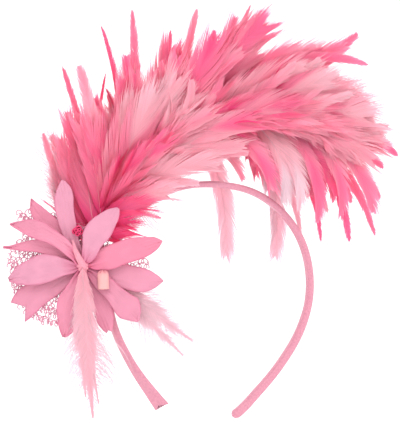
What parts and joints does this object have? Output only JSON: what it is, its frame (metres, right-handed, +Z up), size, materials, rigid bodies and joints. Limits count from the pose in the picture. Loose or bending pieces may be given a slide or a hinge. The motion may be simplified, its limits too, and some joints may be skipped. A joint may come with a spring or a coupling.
{
  "type": "feather headband",
  "caption": "Narrow satin-covered hair band with a cloth flower over looped net on one arm and an arched plume of dyed hackle feathers that sweeps over the top.",
  "frame": {"origin": "inside of the band's top, where it sits on the head", "axes": "+Z up as worn, +X towards the arm without the flower, -Y towards the side that the flower faces"},
  "size_m": [0.2472, 0.0438, 0.2501],
  "materials": {
    "satin_ribbon": "pink satin ribbon wound tight over the band",
    "felt_backing": "pink felt",
    "looped_net": "coarse looped netting, dull mauve pink",
    "petal_cloth": "matt stiffened pink cloth with cut edges",
    "bud_cloth": "crumpled deep pink cloth",
    "hackle_feather": "dyed hackle feathers, deep pink in the recesses and pale at the tips",
    "marabou_down": "fluffy dyed down, pale at the edges"
  },
  "bodies": {
    "root": {"hair_band": "satin_ribbon", "flower_backing": "felt_backing", "net_ruff": "looped_net", "petal_01": "petal_cloth", "petal_02": "petal_cloth", "petal_03": "petal_cloth", "petal_04": "petal_cloth", "petal_05": "petal_cloth", "petal_06": "petal_cloth", "petal_07": "petal_cloth", "petal_08": "petal_cloth", "petal_09": "petal_cloth", "petal_10": "petal_cloth", "petal_11": "petal_cloth", "petal_12": "petal_cloth", "petal_tab": "petal_cloth", "flower_knot": "petal_cloth", "flower_bud": "bud_cloth", "plume": "hackle_feather", "marabou_lower": "marabou_down", "marabou_side": "marabou_down"}
  },
  "joints": []
}
